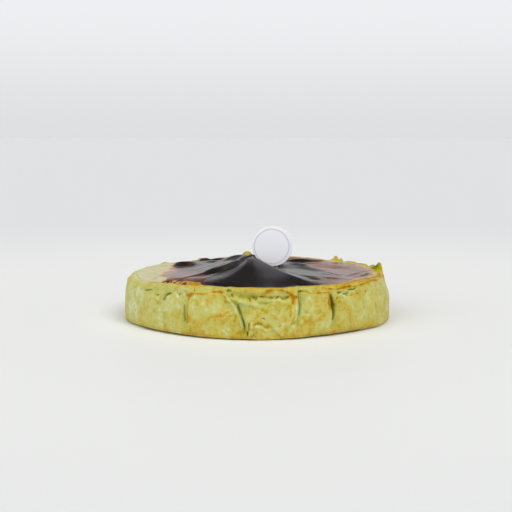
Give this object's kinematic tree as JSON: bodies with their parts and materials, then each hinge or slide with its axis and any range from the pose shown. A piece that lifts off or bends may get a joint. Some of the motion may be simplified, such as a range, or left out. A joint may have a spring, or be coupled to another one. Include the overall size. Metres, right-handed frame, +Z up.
{
  "type": "basque cheesecake",
  "caption": "Whole round green basque cheesecake with a burnt, tent-like top, creased wall and ragged rim, and a blank round tag on a wooden pick.",
  "frame": {"origin": "middle of the cake's flat base", "axes": "+Z up, -Y towards the viewer of the shown side, +X to that viewer's right; the tag faces -Y"},
  "size_m": [0.1741, 0.1762, 0.0606],
  "materials": {
    "cheesecake": "moist pale green baked curd with a glossy black-brown burnt top",
    "tag_card": "smooth white card with a thin lilac ring",
    "pick_wood": "plain bamboo, unvarnished"
  },
  "bodies": {
    "root": {"cake": "cheesecake", "topper_disc": "tag_card", "topper_pick": "pick_wood"}
  },
  "joints": []
}
